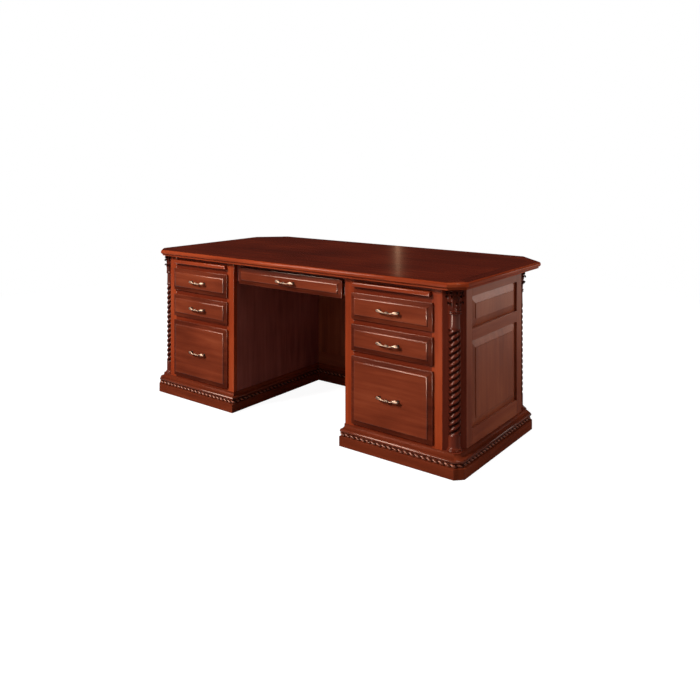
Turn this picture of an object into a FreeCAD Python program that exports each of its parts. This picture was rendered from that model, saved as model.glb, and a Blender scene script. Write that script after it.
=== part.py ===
import FreeCAD, Part

import math
import os

from FreeCAD import Vector

# Executive desk with two pedestals. Millimetres, +X to the right, +Y to the rear, +Z up.
# The origin lies on the floor under the middle of the desk's overall box.

os.makedirs("parts", exist_ok=True)

# Overall and plan sizes
overall_height = 787.0
top_width = 1920.0
top_depth = 955.0
top_side_overhang = 33.5
case_depth = 693.0
case_setback = 35.0
kneehole_width = 714.0
running_gap = 0.3
overrun = 5.0
diagonal_share = math.sqrt(0.5)
rearward = Vector(0, 1, 0)

# Desk top
top_thickness = 31.4
top_border = 60.0
top_front_clip = 65.0
top_rear_clip = 146.0
top_edge_round = 10.0
top_edge_band = 8.0
top_edge_quirk = 3.0
top_edge_cove = 6.5

# Base mouldings
base_height = 97.0
base_projection = 26.0
kneehole_base_projection = 15.0
base_clip = 32.7
plinth_height = 44.5
rope_band_height = 16.5
rope_radius = 7.5
base_bead_radius = 8.5
base_relief_inset = 3.0
cap_lip = 2.0
mitre_overrun = 60.0
mitre_reach_share = 0.4

# Case boards
corner_leg = 72.0
corner_board_thickness = 19.0
frame_thickness = 22.0
end_frame_thickness = 22.0
back_thickness = 16.0
side_thickness = 18.0
case_clearance = 20.0
stile_width = 49.0
end_stile_width = 52.0
end_top_rail = 42.0
end_middle_rail = 50.0
end_upper_opening = 135.0
end_bottom_rail = 67.0
back_stile_width = 52.0
back_top_rail = 56.0
back_bottom_rail = 67.0
pedestal_bottom_thickness = 15.0

# Raised panels of the ends and the back
panel_bevel_width = 35.0
panel_bevel_rise = 8.0
panel_step = 2.5
panel_setback = 1.0

# Half columns on the corners
shaft_radius = 26.0
shaft_neck_radius = 25.0
column_base_radius = 33.0
column_base_ring = 9.0
column_base_cove = 7.0
plain_neck_height = 59.0
ring_radius = 28.5
ring_height = 16.0
capital_foot_radius = 27.0
capital_radius = 35.0
capital_height = 87.6
abacus_height = 12.0

# Drawer fronts
front_thickness = 19.0
front_edge_thickness = 8.5
front_edge_round = 1.5
front_border_width = 18.0
front_border_rise = 4.0
front_overlap = 8.0
front_gap = 23.5
small_front_height = 117.0
front_base_gap = 12.4

# Drawer boxes
box_board = 12.0
box_bottom_thickness = 6.0
box_bottom_raise = 9.0
box_foot_gap = 6.0
small_box_margin = 32.0
file_box_margin = 54.0
box_rear_margin = 2.0

# Slides
slide_thickness = 12.7
slide_metal = 1.5
slide_play = 0.3
slide_reach = 10.8
small_slide_height = 34.0
file_slide_height = 46.0
slide_length = 500.0
slide_front_setback = 6.0
slide_rail_height = 70.0
small_slide_lift = 30.0
file_slide_lift = 60.0

# Centre drawer
centre_side_gap = 27.0
centre_front_height = 84.0
centre_top_gap = 18.6
centre_box_margin = 28.0
centre_slide_length = 400.0
centre_slide_lift = 26.0
hanger_thickness = 22.0
hanger_height = 92.0
hanger_rear_margin = 50.0
hanger_setback = 24.0
kneehole_rail_height = 17.0
kneehole_rail_thickness = 20.0

# Writing boards
board_thickness = 19.0
board_top_gap = 17.6
board_rail = 27.0
board_side_play = 1.75
board_depth = 400.0
board_play = 1.7
board_edge_round = 4.0
kicker_width = 18.0
runner_height = 20.0

# Bow pulls
pull_spacing = 96.0
pull_boss_radius = 10.0
pull_boss_height = 3.0
pull_post_radius = 4.0
pull_standoff = 19.0
pull_bar_radius = 5.0
pull_lobe_radius = 8.5
pull_lobe_length = 13.6
pull_lobe_beyond = 3.2
pull_knot_radius = 8.7
pull_knot_length = 22.0
screw_radius = 2.0
screw_hole_radius = 2.3
screw_head_radius = 4.0
screw_head_height = 2.5

# Glue blocks, glides and brackets
block_size = 40.0
block_lift = 6.0
glide_radius = 14.0
bracket_leg = 22.0
bracket_metal = 2.0
bracket_length = 30.0
bracket_inset = 130.0

# Planes and heights that follow from the sizes
pull_projection = pull_standoff + pull_knot_radius
pull_beyond_top = pull_projection + front_thickness + running_gap - case_setback
overall_depth = top_depth + pull_beyond_top
top_front = pull_beyond_top - overall_depth / 2
top_rear = top_front + top_depth
case_front = top_front + case_setback
case_rear = case_front + case_depth
frame_back = case_front + frame_thickness
back_front = case_rear - back_thickness
case_half = top_width / 2 - top_side_overhang
knee_half = kneehole_width / 2
side_inner = knee_half + side_thickness
end_inner = case_half - end_frame_thickness
face_outer = case_half - corner_leg
top_bottom = overall_height - top_thickness
cap_bottom = plinth_height + rope_band_height
front_back = case_front - running_gap
front_face = front_back - front_thickness
pedestal_centre = (knee_half + face_outer) / 2
opening_inner = knee_half + stile_width
opening_outer = face_outer - stile_width
front_width = opening_outer - opening_inner + 2 * front_overlap
bottom_underside = base_height - pedestal_bottom_thickness
board_bottom = top_bottom - board_top_gap - board_thickness
lowest_front_bottom = base_height + front_base_gap
drawers_top = board_bottom - board_rail
file_front_height = drawers_top - lowest_front_bottom - 2 * (small_front_height + front_gap)
centre_front_bottom = top_bottom - centre_top_gap - centre_front_height
pull_lobe_offset = pull_spacing / 2 + pull_lobe_beyond


def box(x0, x1, y0, y1, z0, z1):
    """A box between two limits on each axis, given in any order."""
    low = Vector(min(x0, x1), min(y0, y1), min(z0, z1))
    return Part.makeBox(abs(x1 - x0), abs(y1 - y0), abs(z1 - z0), low)


def prism(points, z0, z1):
    """An upright prism on a plan outline."""
    corners = [Vector(x, y, z0) for x, y in points]
    face = Part.Face(Part.makePolygon(corners + corners[:1]))
    return face.extrude(Vector(0, 0, z1 - z0))


def outline(place, start, steps):
    """A closed wire of lines and arcs. A step is an end point, or an arc's middle and end."""
    edges = []
    here = start
    for step in steps:
        end = step[-1] if isinstance(step[0], tuple) else step
        if isinstance(step[0], tuple):
            edges.append(Part.Arc(place(*here), place(*step[0]), place(*end)).toShape())
        else:
            edges.append(Part.LineSegment(place(*here), place(*end)).toShape())
        here = end
    edges.append(Part.LineSegment(place(*here), place(*start)).toShape())
    return Part.Wire(edges)


def save(name, solids):
    """Write one node, as one solid or as a group of separate solids."""
    shape = solids[0] if len(solids) == 1 else Part.makeCompound(solids)
    shape.exportStep("parts/" + name + ".step")


def clipped_outline(half, front, rear, front_clip, rear_clip):
    """A rectangle in plan with its four corners cut at 45 degrees."""
    return [
        (half - front_clip, front),
        (half, front + front_clip),
        (half, rear - rear_clip),
        (half - rear_clip, rear),
        (rear_clip - half, rear),
        (-half, rear - rear_clip),
        (-half, front + front_clip),
        (front_clip - half, front),
    ]


def inset_clip(clip, inset):
    """The leg of a 45 degree clip after its outline moves inward."""
    return clip - inset * (2 - 1 / diagonal_share)


def mitred_runs(inner, outer, section):
    """One length of moulding for each side of an outline, mitred where two lengths meet."""
    runs = []
    count = len(inner)
    for index in range(count):
        following = (index + 1) % count
        start = Vector(*inner[index], 0)
        end = Vector(*inner[following], 0)
        start_reach = Vector(*outer[index], 0) - start
        end_reach = Vector(*outer[following], 0) - end
        along = (end - start).normalize()
        outward = start_reach - along * start_reach.dot(along)
        projection = outward.Length
        outward.normalize()
        origin = start - along * mitre_overrun
        wire = section(lambda d, z: origin + outward * d + Vector(0, 0, z), projection)
        run = Part.Face(wire).extrude(along * ((end - start).Length + 2 * mitre_overrun))
        near = 1 + mitre_reach_share
        corners = [
            start - start_reach * mitre_reach_share,
            end - end_reach * mitre_reach_share,
            end + end_reach * near,
            start + start_reach * near,
        ]
        limits = run.BoundBox
        plan = [(corner.x, corner.y) for corner in corners]
        runs.append(run.common(prism(plan, limits.ZMin - overrun, limits.ZMax + overrun)).Solids[0])
    return runs


def raised_panel(place, u0, u1, z0, z1, profile):
    """A panel whose rectangles shrink and rise as the profile's insets and heights say."""
    wires = []
    for inset, rise in profile:
        corners = [
            place(u0 + inset, z0 + inset, rise),
            place(u1 - inset, z0 + inset, rise),
            place(u1 - inset, z1 - inset, rise),
            place(u0 + inset, z1 - inset, rise),
        ]
        wires.append(Part.makePolygon(corners + corners[:1]))
    return Part.makeLoft(wires, True, True)


def quarter_round(inset, rise, radius, steps=4):
    """Points of a convex quarter round that starts upright and ends flat."""
    angles = [math.pi / 2 * step / steps for step in range(1, steps + 1)]
    return [
        (inset + radius * (1 - math.cos(angle)), rise + radius * math.sin(angle))
        for angle in angles
    ]


def facing_front(plane):
    """Places panel points on an upright plane, rising towards the front."""
    return lambda u, z, rise: Vector(u, plane - rise, z)


def facing_rear(plane):
    """Places panel points on an upright plane, rising towards the rear."""
    return lambda u, z, rise: Vector(u, plane + rise, z)


def facing_side(plane, side):
    """Places panel points on an upright plane, rising away from the desk's middle."""
    return lambda u, z, rise: Vector(side * (plane + rise), u, z)


# Desk top: a core panel inside eight mitred lengths of edge moulding
def top_edge_section(place, projection):
    upper = overall_height - top_edge_round
    band = upper - top_edge_band
    cove_start = projection - top_edge_quirk
    cove_end = cove_start - top_edge_cove
    cove_foot = band - top_edge_cove
    round_middle = (
        projection - top_edge_round * (1 - diagonal_share),
        upper + top_edge_round * diagonal_share,
    )
    cove_middle = (
        cove_start - top_edge_cove * (1 - diagonal_share),
        cove_foot + top_edge_cove * (1 - diagonal_share),
    )
    steps = [
        (projection - top_edge_round, overall_height),
        (round_middle, (projection, upper)),
        (projection, band),
        (cove_start, band),
        (cove_middle, (cove_end, cove_foot)),
        (cove_end, top_bottom),
        (0, top_bottom),
    ]
    return outline(place, (0, overall_height), steps)


def build_top():
    outer = clipped_outline(top_width / 2, top_front, top_rear, top_front_clip, top_rear_clip)
    inner = clipped_outline(
        top_width / 2 - top_border,
        top_front + top_border,
        top_rear - top_border,
        inset_clip(top_front_clip, top_border),
        inset_clip(top_rear_clip, top_border),
    )
    save("desk_top", [prism(inner, top_bottom, overall_height)])
    save("top_edge_moulding", mitred_runs(inner, outer, top_edge_section))


# Base: plinth boards, rope band and cap moulding round both pedestals and the kneehole
def base_outline(projection, knee_projection):
    """The base's plan outline at a given projection from the case."""
    half = case_half + projection
    front = case_front - projection
    rear = case_rear + projection
    knee = knee_half - knee_projection
    knee_rear = back_front - knee_projection
    clip = inset_clip(base_clip, base_projection - projection)
    points = clipped_outline(half, front, rear, clip, clip)
    return points + [(-knee, front), (-knee, knee_rear), (knee, knee_rear), (knee, front)]


def plinth_section(place, projection):
    rope_back = projection - base_relief_inset - rope_radius
    steps = [
        (projection, 0),
        (projection, plinth_height),
        (rope_back, plinth_height),
        (rope_back, cap_bottom),
        (0, cap_bottom),
    ]
    return outline(place, (0, 0), steps)


def rope_section(place, projection):
    crest = projection - base_relief_inset
    back = crest - rope_radius
    middle = plinth_height + rope_band_height / 2
    low = middle - rope_radius
    high = middle + rope_radius
    return outline(place, (back, low), [((crest, middle), (back, high))])


def cap_section(place, projection):
    bead = base_bead_radius
    crest = projection - base_relief_inset
    bead_back = crest - bead
    bead_top = cap_bottom + 2 * bead
    rise = base_height - bead_top
    run = bead_back - cap_lip
    cove_middle = (
        cap_lip + run * (1 - diagonal_share),
        bead_top + rise * (1 - diagonal_share),
    )
    steps = [
        (bead_back, cap_bottom),
        ((crest, cap_bottom + bead), (bead_back, bead_top)),
        (cove_middle, (cap_lip, base_height)),
        (0, base_height),
    ]
    return outline(place, (0, cap_bottom), steps)


def build_base():
    inner = base_outline(0, 0)
    outer = base_outline(base_projection, kneehole_base_projection)
    save("base_plinth", mitred_runs(inner, outer, plinth_section))
    save("base_rope_moulding", mitred_runs(inner, outer, rope_section))
    save("base_cap_moulding", mitred_runs(inner, outer, cap_section))
    blocks = []
    leg = corner_leg
    clip = inset_clip(base_clip, base_projection)
    for side in (1, -1):
        for corner_y, inward in ((case_front, 1), (case_rear, -1)):
            points = [
                (side * (case_half - leg), corner_y),
                (side * (case_half - clip), corner_y),
                (side * case_half, corner_y + inward * clip),
                (side * case_half, corner_y + inward * leg),
            ]
            blocks.append(prism(points, case_clearance, base_height))
    save("column_blocks", blocks)


# Case: frames, boards and panels
def build_face_frame(name, side):
    inner = side * opening_inner
    outer = side * opening_outer
    edges = [(case_clearance, lowest_front_bottom + front_overlap)]
    for low, high in zip(front_tops[:-1], front_bottoms[1:]):
        edges.append((low - front_overlap, high + front_overlap))
    edges.append((front_tops[-1] - front_overlap, board_bottom - board_play))
    edges.append((board_bottom + board_thickness + board_play, top_bottom))
    solids = [
        box(side * knee_half, inner, case_front, frame_back, case_clearance, top_bottom),
        box(outer, side * face_outer, case_front, frame_back, case_clearance, top_bottom),
    ]
    solids += [box(inner, outer, case_front, frame_back, low, high) for low, high in edges]
    save(name, solids)


def panel_profile(frame_board):
    """A raised panel that stays a little below the face of its frame."""
    full = frame_board - panel_setback
    bevel_start = full - panel_step - panel_bevel_rise
    return [
        (0, 0),
        (0, bevel_start),
        (panel_bevel_width, bevel_start + panel_bevel_rise),
        (panel_bevel_width, full),
    ]


def build_end(side_name, side):
    front = case_front + corner_leg
    rear = case_rear - corner_leg
    open_front = front + end_stile_width
    open_rear = rear - end_stile_width
    upper_top = top_bottom - end_top_rail
    upper_bottom = upper_top - end_upper_opening
    lower_top = upper_bottom - end_middle_rail
    lower_bottom = base_height + end_bottom_rail
    rails = [
        (case_clearance, lower_bottom),
        (lower_top, upper_bottom),
        (upper_top, top_bottom),
    ]
    inner = side * end_inner
    outer = side * case_half
    solids = [
        box(inner, outer, front, open_front, case_clearance, top_bottom),
        box(inner, outer, open_rear, rear, case_clearance, top_bottom),
    ]
    solids += [box(inner, outer, open_front, open_rear, low, high) for low, high in rails]
    save(side_name + "_end_frame", solids)
    place = facing_side(end_inner, side)
    profile = panel_profile(end_frame_thickness)
    spans = [(lower_bottom, lower_top), (upper_bottom, upper_top)]
    panels = [raised_panel(place, open_front, open_rear, low, high, profile) for low, high in spans]
    save(side_name + "_end_panels", panels)


def build_back():
    face = face_outer
    half_stile = back_stile_width / 2
    stiles = [(face - back_stile_width, face), (knee_half - half_stile, knee_half + half_stile)]
    bay_low = base_height + back_bottom_rail
    bay_high = top_bottom - back_top_rail
    solids = [
        box(-face, face, back_front, case_rear, case_clearance, bay_low),
        box(-face, face, back_front, case_rear, bay_high, top_bottom),
    ]
    for side in (1, -1):
        for low, high in stiles:
            solids.append(box(side * low, side * high, back_front, case_rear, bay_low, bay_high))
    save("back_frame", solids)
    place = facing_rear(back_front)
    profile = panel_profile(back_thickness)
    bay_inner = stiles[1][1]
    bay_outer = stiles[0][0]
    centre = stiles[1][0]
    spans = [(-bay_outer, -bay_inner), (-centre, centre), (bay_inner, bay_outer)]
    panels = [raised_panel(place, low, high, bay_low, bay_high, profile) for low, high in spans]
    save("back_panels", panels)


def corner_inner_offset():
    """How far the inner face of a corner board lies from its outer face, along X or Y."""
    return corner_board_thickness / diagonal_share


def build_corner_boards():
    offset = corner_inner_offset()
    solids = []
    for side in (1, -1):
        for corner_y, inward in ((case_front, 1), (case_rear, -1)):
            points = [
                (side * face_outer, corner_y),
                (side * case_half, corner_y + inward * corner_leg),
                (side * (case_half - offset), corner_y + inward * corner_leg),
                (side * face_outer, corner_y + inward * offset),
            ]
            solids.append(prism(points, case_clearance, top_bottom))
    save("corner_boards", solids)


def build_pedestal_boards():
    sides = []
    partitions = []
    bottoms = []
    offset = corner_inner_offset()
    for side in (1, -1):
        near = side * knee_half
        far = side * side_inner
        sides.append(box(near, far, frame_back, back_front, case_clearance, top_bottom))
        near = side * opening_outer
        far = side * (opening_outer + side_thickness)
        partitions.append(box(near, far, frame_back, back_front, base_height, top_bottom))
        front_cut = face_outer + frame_thickness - offset
        rear_cut = face_outer + back_thickness - offset
        slope_front = frame_back + end_inner - front_cut
        slope_rear = back_front - end_inner + rear_cut
        points = [
            (side * side_inner, frame_back),
            (side * front_cut, frame_back),
            (side * end_inner, slope_front),
            (side * end_inner, slope_rear),
            (side * rear_cut, back_front),
            (side * side_inner, back_front),
        ]
        bottoms.append(prism(points, bottom_underside, base_height))
    save("kneehole_sides", sides)
    save("pedestal_partitions", partitions)
    save("pedestal_bottoms", bottoms)


# Half columns: base rings, plain foot, shaft for the rope carving, neck, ring and capital
def column_solid(centre, normal):
    foot = base_height
    ring_top = foot + column_base_ring
    cove_top = ring_top + column_base_cove
    collar_top = top_bottom - capital_height
    neck_top = collar_top - ring_height
    rope_top = neck_top - plain_neck_height
    abacus_bottom = top_bottom - abacus_height
    points = [
        (0, foot),
        (column_base_radius, foot),
        (column_base_radius, ring_top),
        (shaft_radius, cove_top),
        (shaft_radius, rope_top),
        (shaft_neck_radius, rope_top),
        (shaft_neck_radius, neck_top),
        (ring_radius, neck_top),
        (ring_radius, collar_top),
        (capital_foot_radius, collar_top),
        (capital_radius, abacus_bottom),
        (capital_radius, top_bottom),
        (0, top_bottom),
    ]
    corners = [Vector(centre.x + radius, centre.y, z) for radius, z in points]
    face = Part.Face(Part.makePolygon(corners + corners[:1]))
    whole = face.revolve(centre, Vector(0, 0, 1), 360)
    along = Vector(-normal.y, normal.x, 0)
    reach = column_base_radius + capital_radius
    near = centre - along * reach
    far = centre + along * reach
    keep = [near, far, far + normal * reach, near + normal * reach]
    return whole.common(prism([(p.x, p.y) for p in keep], base_height, top_bottom)).Solids[0]


def build_columns():
    for side_name, side in (("right", 1), ("left", -1)):
        columns = []
        for corner_y, inward in ((case_front, 1), (case_rear, -1)):
            middle = corner_leg / 2
            centre = Vector(side * (case_half - middle), corner_y + inward * middle, 0)
            normal = Vector(side * diagonal_share, -inward * diagonal_share, 0)
            columns.append(column_solid(centre, normal))
        save(side_name + "_columns", columns)


# Slides: channels that nest with a small play above and below
def channel(side, x_web, x_mouth, y0, y1, z_middle, height):
    """A channel with its web at one X and its mouth towards the other."""
    web_end = x_web + math.copysign(slide_metal, x_mouth - x_web)
    low = z_middle - height / 2
    high = z_middle + height / 2
    web = box(side * x_web, side * web_end, y0, y1, low, high)
    lips = [
        box(side * x_web, side * x_mouth, y0, y1, low, low + slide_metal),
        box(side * x_web, side * x_mouth, y0, y1, high - slide_metal, high),
    ]
    return web.fuse(lips).removeSplitter()


def nested_height(height):
    """The height of the channel that runs inside another one."""
    return height - 2 * (slide_metal + slide_play)


def slide_channels(side, x_cabinet, inward, y0, y1, z_middle, height, members):
    """The cabinet member, any intermediate member and the drawer member of one slide."""
    x_drawer = x_cabinet + inward * slide_thickness
    cabinet = channel(side, x_cabinet, x_cabinet + inward * slide_reach, y0, y1, z_middle, height)
    inner_height = nested_height(height)
    middle = None
    if members == 3:
        x_middle = x_cabinet + inward * (slide_metal + slide_play)
        middle = channel(side, x_middle, x_cabinet + inward * slide_reach, y0, y1, z_middle, inner_height)
        inner_height = nested_height(inner_height)
    steps = members - 1
    x_inner_mouth = x_cabinet + inward * steps * (slide_metal + slide_play)
    drawer = channel(side, x_drawer, x_inner_mouth, y0, y1, z_middle, inner_height)
    return cabinet, middle, drawer


# Drawers
def front_profile():
    """The profile of a drawer front: eased edge, sloping border, rounded step, flat field."""
    border_end = front_edge_round + front_border_width
    border_top = front_edge_thickness + front_edge_round + front_border_rise
    profile = [(0, 0), (0, front_edge_thickness)]
    profile += quarter_round(0, front_edge_thickness, front_edge_round, 3)
    profile.append((border_end, border_top))
    return profile + quarter_round(border_end, border_top, front_thickness - border_top, 5)


def bow_profile():
    """Half the outline of the bow, from its end to its middle: lobe, bar and knot."""
    lobe_half = pull_lobe_length / 2
    return [
        (-pull_lobe_offset - lobe_half, 0),
        (-pull_lobe_offset - lobe_half * diagonal_share, pull_lobe_radius * diagonal_share),
        (-pull_lobe_offset, pull_lobe_radius),
        (-pull_lobe_offset + lobe_half, pull_bar_radius),
        (-pull_knot_length / 2, pull_bar_radius),
        (-pull_knot_length / 4, pull_knot_radius),
    ]


def build_pull(centre_x, face, z, back):
    """A bow pull with its two screws, which reach it through the front and the box."""
    sides = (-1, 1)
    half = pull_spacing / 2
    axis_y = face - pull_standoff
    left = bow_profile()
    points = left + [(-x, radius) for x, radius in reversed(left)]
    corners = [Vector(centre_x + x, axis_y, z + radius) for x, radius in points]
    section = Part.Face(Part.makePolygon(corners + corners[:1]))
    casting = section.revolve(Vector(centre_x, axis_y, z), Vector(1, 0, 0), 360)
    screws = []
    for side in sides:
        x = centre_x + side * half
        boss = Vector(x, face - pull_boss_height, z)
        post = Vector(x, axis_y, z)
        casting = casting.fuse(Part.makeCylinder(pull_boss_radius, pull_boss_height, boss, rearward))
        casting = casting.fuse(Part.makeCylinder(pull_post_radius, pull_standoff, post, rearward))
        thread = Part.makeCylinder(screw_radius, back - face, Vector(x, face, z), rearward)
        head = Part.makeCylinder(screw_head_radius, screw_head_height, Vector(x, back, z), rearward)
        screws.append(thread.fuse(head).removeSplitter().Solids[0])
    return [casting.removeSplitter().Solids[0]] + screws


def screw_holes(shape, centre_x, z):
    """Cut the two bores of a pull's screws through a board."""
    limits = shape.BoundBox
    for side in (-1, 1):
        start = Vector(centre_x + side * pull_spacing / 2, limits.YMin - overrun, z)
        length = limits.YLength + 2 * overrun
        shape = shape.cut(Part.makeCylinder(screw_hole_radius, length, start, rearward))
    return shape.Solids[0]


def build_drawer(name, front, body, pull_z):
    """A drawer from its front (x0, x1, z0, z1, back plane) and its box (x0, x1, z0, z1, length)."""
    x0, x1, z0, z1, back = front
    centre_x = (x0 + x1) / 2
    panel = raised_panel(facing_front(back), x0, x1, z0, z1, front_profile())
    save(name + "_front", [screw_holes(panel, centre_x, pull_z)])
    bx0, bx1, bz0, bz1, length = body
    inner0 = bx0 + box_board
    inner1 = bx1 - box_board
    rear = back + length
    floor = bz0 + box_bottom_raise
    inner_front = box(inner0, inner1, back, back + box_board, bz0, bz1)
    boards = [
        box(bx0, inner0, back, rear, bz0, bz1),
        box(inner1, bx1, back, rear, bz0, bz1),
        screw_holes(inner_front, centre_x, pull_z),
        box(inner0, inner1, rear - box_board, rear, bz0, bz1),
        box(inner0, inner1, back + box_board, rear - box_board, floor, floor + box_bottom_thickness),
    ]
    save(name + "_box", boards)
    save(name + "_pull", build_pull(centre_x, back - front_thickness, pull_z, back + box_board))


def build_pedestal_drawers(side_name, side, cabinet_members, rails):
    slide_front = frame_back + slide_front_setback
    slide_rear = slide_front + slide_length
    x0 = side * (pedestal_centre - front_width / 2)
    x1 = side * (pedestal_centre + front_width / 2)
    box_inner = opening_inner + slide_thickness
    box_outer = opening_outer - slide_thickness
    for index, drawer in enumerate(drawer_names):
        name = side_name + "_" + drawer
        is_file = index == 0
        z0 = front_bottoms[index]
        z1 = front_tops[index]
        box_low = z0 + front_overlap + box_foot_gap
        box_high = box_low + front_heights[index] - (file_box_margin if is_file else small_box_margin)
        front = (min(x0, x1), max(x0, x1), z0, z1, front_back)
        limits = sorted((side * box_inner, side * box_outer))
        length = slide_rear + box_rear_margin - front_back
        body = (limits[0], limits[1], box_low, box_high, length)
        build_drawer(name, front, body, (z0 + z1) / 2)
        z_slide = box_low + (file_slide_lift if is_file else small_slide_lift)
        height = file_slide_height if is_file else small_slide_height
        members = 3 if is_file else 2
        drawer_members = []
        middle_members = []
        for x_cabinet, inward in ((opening_inner, 1), (opening_outer, -1)):
            cabinet, middle, moving = slide_channels(
                side, x_cabinet, inward, slide_front, slide_rear, z_slide, height, members
            )
            cabinet_members.append(cabinet)
            drawer_members.append(moving)
            if middle:
                middle_members.append(middle)
        save(name + "_slides", drawer_members)
        if middle_members:
            save(name + "_intermediates", middle_members)
        rail_low = z_slide - slide_rail_height / 2
        near = side * side_inner
        far = side * opening_inner
        rails.append(box(near, far, frame_back, back_front, rail_low, rail_low + slide_rail_height))


def build_centre_drawer(cabinet_members):
    half = knee_half - centre_side_gap
    back = case_front + front_thickness
    front = (-half, half, centre_front_bottom, centre_front_bottom + centre_front_height, back)
    hanger_inner = knee_half - hanger_thickness
    box_half = hanger_inner - slide_thickness
    box_low = centre_front_bottom + box_foot_gap
    box_high = box_low + centre_front_height - centre_box_margin
    slide_front = back + slide_front_setback
    slide_rear = slide_front + centre_slide_length
    length = slide_rear + box_rear_margin - back
    body = (-box_half, box_half, box_low, box_high, length)
    build_drawer("centre_drawer", front, body, centre_front_bottom + centre_front_height / 2)
    z_slide = box_low + centre_slide_lift
    moving_members = []
    hangers = []
    for side in (1, -1):
        cabinet, middle, moving = slide_channels(
            side, hanger_inner, -1, slide_front, slide_rear, z_slide, small_slide_height, 2
        )
        cabinet_members.append(cabinet)
        moving_members.append(moving)
        near = side * hanger_inner
        far = side * knee_half
        front_end = case_front + hanger_setback
        rear_end = slide_rear + hanger_rear_margin
        hangers.append(box(near, far, front_end, rear_end, top_bottom - hanger_height, top_bottom))
    save("centre_drawer_slides", moving_members)
    save("centre_drawer_hangers", hangers)
    rail_low = top_bottom - kneehole_rail_height
    rail_front = back + slide_front_setback
    rail_back = rail_front + kneehole_rail_thickness
    rail = box(-hanger_inner, hanger_inner, rail_front, rail_back, rail_low, top_bottom)
    save("kneehole_rail", [rail])


# Writing boards with their runners below and kickers above
def build_writing_boards():
    guides = []
    for side_name, side in (("right", 1), ("left", -1)):
        x0 = side * (opening_inner + board_side_play)
        x1 = side * (opening_outer - board_side_play)
        board_top = board_bottom + board_thickness
        board = box(x0, x1, front_face, front_face + board_depth, board_bottom, board_top)
        front_edges = [edge for edge in board.Edges if edge.BoundBox.YMax < front_face + running_gap]
        save(side_name + "_writing_board", [board.makeFillet(board_edge_round, front_edges)])
        runner_top = board_bottom - running_gap
        runner_bottom = runner_top - runner_height
        kicker_bottom = board_top + running_gap
        spans = [(side_inner, opening_inner + kicker_width), (opening_outer - kicker_width, opening_outer)]
        for low, high in spans:
            near = side * low
            far = side * high
            guides.append(box(near, far, frame_back, back_front, runner_bottom, runner_top))
            guides.append(box(near, far, frame_back, back_front, kicker_bottom, top_bottom))
    save("writing_board_guides", guides)


# Glue blocks and glides under the pedestals, brackets under the top
def build_fittings():
    blocks = []
    glides = []
    brackets = []
    for side in (1, -1):
        inner = side_inner
        outer = opening_outer
        for y_wall, inward in ((frame_back, 1), (back_front, -1)):
            for x_wall, x_way in ((inner, 1), (outer, 0)):
                x_low = x_wall if x_way else x_wall - block_size / 2
                y_far = y_wall + inward * block_size
                x_high = x_low + block_size
                blocks.append(box(side * x_low, side * x_high, y_wall, y_far, block_lift, bottom_underside))
                middle = Vector(side * (x_low + x_high) / 2, (y_wall + y_far) / 2, 0)
                glides.append(Part.makeCylinder(glide_radius, block_lift, middle))
        for y_middle in (case_front + bracket_inset, case_rear - bracket_inset):
            y0 = y_middle - bracket_length / 2
            y1 = y_middle + bracket_length / 2
            wall = side * end_inner
            leg_end = side * (end_inner - bracket_leg)
            metal_end = side * (end_inner - bracket_metal)
            leg = box(leg_end, wall, y0, y1, top_bottom - bracket_metal, top_bottom)
            upright = box(metal_end, wall, y0, y1, top_bottom - bracket_leg, top_bottom)
            brackets.append(leg.fuse(upright).removeSplitter())
    save("corner_glue_blocks", blocks)
    save("floor_glides", glides)
    save("top_brackets", brackets)


# Drawers from the lowest one up
drawer_names = ("file_drawer", "middle_drawer", "top_drawer")
front_heights = (file_front_height, small_front_height, small_front_height)
front_bottoms = []
front_tops = []
next_bottom = lowest_front_bottom
for front_height in front_heights:
    front_bottoms.append(next_bottom)
    front_tops.append(next_bottom + front_height)
    next_bottom += front_height + front_gap

build_top()
build_base()
build_back()
build_corner_boards()
build_pedestal_boards()
build_columns()
all_cabinet_members = []
all_rails = []
for side_name, side in (("right", 1), ("left", -1)):
    build_face_frame(side_name + "_face_frame", side)
    build_end(side_name, side)
    build_pedestal_drawers(side_name, side, all_cabinet_members, all_rails)
build_centre_drawer(all_cabinet_members)
save("cabinet_slide_members", all_cabinet_members)
save("slide_rails", all_rails)
build_writing_boards()
build_fittings()
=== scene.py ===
import math
import random

import bmesh
import bpy
import numpy as np
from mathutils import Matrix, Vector


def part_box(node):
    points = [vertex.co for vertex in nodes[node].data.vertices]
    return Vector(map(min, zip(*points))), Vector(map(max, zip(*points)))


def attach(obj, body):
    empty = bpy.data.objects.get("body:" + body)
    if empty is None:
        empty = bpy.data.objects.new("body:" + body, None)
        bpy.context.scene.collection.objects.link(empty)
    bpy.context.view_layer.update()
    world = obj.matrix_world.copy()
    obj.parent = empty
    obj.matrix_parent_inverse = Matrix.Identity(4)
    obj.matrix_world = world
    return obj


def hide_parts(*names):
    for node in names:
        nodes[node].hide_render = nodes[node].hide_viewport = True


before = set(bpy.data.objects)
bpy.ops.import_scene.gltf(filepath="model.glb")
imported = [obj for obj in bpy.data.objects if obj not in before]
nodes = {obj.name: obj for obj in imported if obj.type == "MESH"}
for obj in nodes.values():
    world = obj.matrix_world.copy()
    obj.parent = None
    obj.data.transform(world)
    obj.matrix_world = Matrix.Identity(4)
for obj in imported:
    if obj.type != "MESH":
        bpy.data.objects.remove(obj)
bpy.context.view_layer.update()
sides = {"right": 1, "left": -1}
scene = bpy.context.scene


# Camera: level, with the frame shifted down to the desk
camera = {
    "place": (2.29073, -2.96765, 1.26923),
    "turn": 36.99,           # degrees from straight ahead
    "lens": 36.469,
    "sensor": 36,
    "shiftDown": 0.2681,
}

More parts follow.
